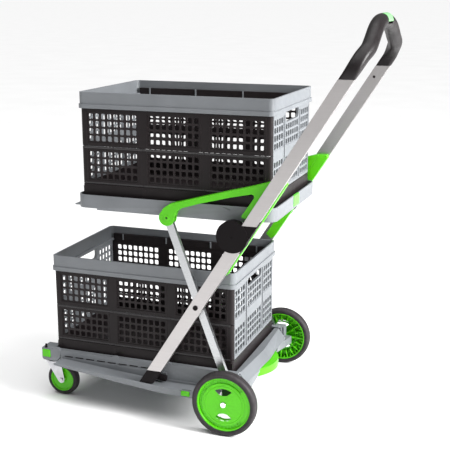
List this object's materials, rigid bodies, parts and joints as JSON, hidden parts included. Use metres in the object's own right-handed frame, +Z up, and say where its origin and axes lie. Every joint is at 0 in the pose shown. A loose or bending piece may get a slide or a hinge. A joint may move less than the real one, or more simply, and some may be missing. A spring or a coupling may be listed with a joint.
{
  "type": "shopping cart",
  "caption": "Folding two-deck shopping cart: two vented fold-down crates on a scissor frame, large rear wheels, swivel castors and an arched push handle.",
  "frame": {"origin": "on the floor, under the middle of the bounding box", "axes": "+X towards the push handle, +Y to the right of the person who pushes towards -X, +Z up"},
  "size_m": [0.9097, 0.552, 1.0549],
  "materials": {
    "green_plastic": "satin",
    "grey_plastic": "fine texture",
    "light_plastic": "fine texture",
    "pale_green_plastic": "satin",
    "black_plastic": "fine texture",
    "aluminium": "satin anodised",
    "zinc_steel": "zinc plated",
    "tyre_rubber": "dull"
  },
  "bodies": {
    "chassis": {"lower_deck": "grey_plastic", "track_left": "grey_plastic", "track_right": "grey_plastic", "rear_axle": "zinc_steel", "axle_caps": "zinc_steel", "castor_housing_left": "grey_plastic", "castor_housing_right": "grey_plastic", "crate_stops": "black_plastic", "brake_shaft": "zinc_steel"},
    "wheel_left": {"wheel_rim_left": "green_plastic", "wheel_tyre_left": "tyre_rubber"},
    "wheel_right": {"wheel_rim_right": "green_plastic", "wheel_tyre_right": "tyre_rubber"},
    "castor_left": {"castor_fork_left": "zinc_steel"},
    "castor_right": {"castor_fork_right": "zinc_steel"},
    "castor_wheel_left": {"castor_rim_left": "green_plastic", "castor_tyre_left": "tyre_rubber"},
    "castor_wheel_right": {"castor_rim_right": "green_plastic", "castor_tyre_right": "tyre_rubber"},
    "brake": {"brake_pedal": "green_plastic"},
    "corner_button_l": {"corner_button_left": "green_plastic"},
    "corner_button_r": {"corner_button_right": "green_plastic"},
    "side_button_l": {"side_button_left": "green_plastic"},
    "side_button_r": {"side_button_right": "green_plastic"},
    "struts": {"strut_left": "aluminium", "strut_right": "aluminium"},
    "arms": {"arm_bar_left": "aluminium", "arm_bar_right": "aluminium", "foot_left": "black_plastic", "foot_right": "black_plastic", "foot_pins": "zinc_steel", "joint_lower_left": "black_plastic", "joint_lower_right": "black_plastic", "bar_bracket_left": "green_plastic", "bar_bracket_right": "green_plastic", "scissor_bolts": "black_plastic"},
    "sliders": {"track_sliders": "black_plastic"},
    "deck": {"upper_deck": "grey_plastic", "deck_arm_left": "green_plastic", "deck_arm_right": "green_plastic", "deck_rod": "zinc_steel"},
    "latch": {"deck_latch": "pale_green_plastic"},
    "handle": {"joint_upper_left": "black_plastic", "joint_upper_right": "black_plastic", "handle_bar_left": "aluminium", "handle_bar_right": "aluminium", "handle_grip": "black_plastic"},
    "grip_button": {"handle_button": "green_plastic"},
    "lower_crate": {"lower_crate_base": "black_plastic", "lower_crate_rim": "grey_plastic", "lower_crate_lower_sides": "black_plastic", "lower_crate_upper_sides": "black_plastic"},
    "lower_front_flap": {"lower_crate_flap_front": "light_plastic"},
    "lower_rear_flap": {"lower_crate_flap_rear": "light_plastic"},
    "upper_crate": {"upper_crate_base": "black_plastic", "upper_crate_rim": "grey_plastic", "upper_crate_lower_sides": "black_plastic", "upper_crate_upper_sides": "black_plastic"},
    "upper_front_flap": {"upper_crate_flap_front": "light_plastic"},
    "upper_rear_flap": {"upper_crate_flap_rear": "light_plastic"}
  },
  "joints": [
    {"name": "wheel_left_spin", "type": "hinge", "parent": "chassis", "child": "wheel_left", "pos_m": [0.11522, -0.261, 0.086], "axis": [0, 1, 0], "continuous": true},
    {"name": "wheel_right_spin", "type": "hinge", "parent": "chassis", "child": "wheel_right", "pos_m": [0.11522, 0.261, 0.086], "axis": [0, 1, 0], "continuous": true},
    {"name": "castor_left_swivel", "type": "hinge", "parent": "chassis", "child": "castor_left", "pos_m": [-0.42278, -0.172, 0.096], "axis": [0, 0, 1], "continuous": true},
    {"name": "castor_left_spin", "type": "hinge", "parent": "castor_left", "child": "castor_wheel_left", "pos_m": [-0.39878, -0.172, 0.046], "axis": [0, 1, 0], "continuous": true},
    {"name": "castor_right_swivel", "type": "hinge", "parent": "chassis", "child": "castor_right", "pos_m": [-0.42278, 0.172, 0.096], "axis": [0, 0, 1], "continuous": true},
    {"name": "castor_right_spin", "type": "hinge", "parent": "castor_right", "child": "castor_wheel_right", "pos_m": [-0.39878, 0.172, 0.046], "axis": [0, 1, 0], "continuous": true},
    {"name": "brake_press", "type": "hinge", "parent": "chassis", "child": "brake", "pos_m": [0.14122, 0, 0.104], "axis": [0, 1, 0], "range_deg": [0, 15]},
    {"name": "corner_button_l_press", "type": "slide", "parent": "chassis", "child": "corner_button_l", "axis": [0, 1, 0], "range_m": [0, 0.003], "stiffness_N_per_m": 600},
    {"name": "side_button_l_press", "type": "slide", "parent": "chassis", "child": "side_button_l", "axis": [0, 1, 0], "range_m": [0, 0.003], "stiffness_N_per_m": 600},
    {"name": "corner_button_r_press", "type": "slide", "parent": "chassis", "child": "corner_button_r", "axis": [0, -1, 0], "range_m": [0, 0.003], "stiffness_N_per_m": 600},
    {"name": "side_button_r_press", "type": "slide", "parent": "chassis", "child": "side_button_r", "axis": [0, -1, 0], "range_m": [0, 0.003], "stiffness_N_per_m": 600},
    {"name": "fold", "type": "hinge", "parent": "chassis", "child": "struts", "pos_m": [0.11522, 0, 0.086], "axis": [0, -1, 0], "range_deg": [0, 26]},
    {"name": "arms_fold", "type": "hinge", "parent": "struts", "child": "arms", "pos_m": [0.02652, 0, 0.32273], "axis": [0, -1, 0], "range_deg": [-52, 0]},
    {"name": "deck_level", "type": "hinge", "parent": "struts", "child": "deck", "pos_m": [-0.05772, 0, 0.54756], "axis": [0, -1, 0], "range_deg": [-26, 0]},
    {"name": "slider_pivot", "type": "hinge", "parent": "arms", "child": "sliders", "pos_m": [-0.10856, 0, 0.10905], "axis": [0, -1, 0], "range_deg": [0, 26]},
    {"name": "handle_fold", "type": "hinge", "parent": "arms", "child": "handle", "pos_m": [0.12477, 0, 0.518], "axis": [0, -1, 0], "range_deg": [0, 75]},
    {"name": "grip_button_press", "type": "slide", "parent": "handle", "child": "grip_button", "axis": [0, 0, -1], "range_m": [0, 0.004], "stiffness_N_per_m": 600},
    {"name": "latch_press", "type": "slide", "parent": "deck", "child": "latch", "axis": [-1, 0, 0], "range_m": [0, 0.004], "stiffness_N_per_m": 600},
    {"name": "lower_crate_lift", "type": "slide", "parent": "chassis", "child": "lower_crate", "axis": [0, 0, 1], "range_m": [0, 0.012]},
    {"name": "upper_crate_lift", "type": "slide", "parent": "deck", "child": "upper_crate", "axis": [0, 0, 1], "range_m": [0, 0.03]},
    {"name": "lower_front_flap_swing", "type": "hinge", "parent": "lower_crate", "child": "lower_front_flap", "pos_m": [-0.40878, 0, 0.3598], "axis": [0, -1, 0], "range_deg": [0, 88]},
    {"name": "lower_rear_flap_swing", "type": "hinge", "parent": "lower_crate", "child": "lower_rear_flap", "pos_m": [0.10522, 0, 0.3598], "axis": [0, 1, 0], "range_deg": [0, 88]},
    {"name": "upper_front_flap_swing", "type": "hinge", "parent": "upper_crate", "child": "upper_front_flap", "pos_m": [-0.30978, 0, 0.80766], "axis": [0, -1, 0], "range_deg": [0, 88]},
    {"name": "upper_rear_flap_swing", "type": "hinge", "parent": "upper_crate", "child": "upper_rear_flap", "pos_m": [0.20422, 0, 0.80766], "axis": [0, 1, 0], "range_deg": [0, 88]}
  ],
  "couplings": [
    {"joint": "arms_fold", "follows": "fold", "ratio": -2},
    {"joint": "deck_level", "follows": "fold", "ratio": -1},
    {"joint": "slider_pivot", "follows": "fold", "ratio": 1}
  ]
}
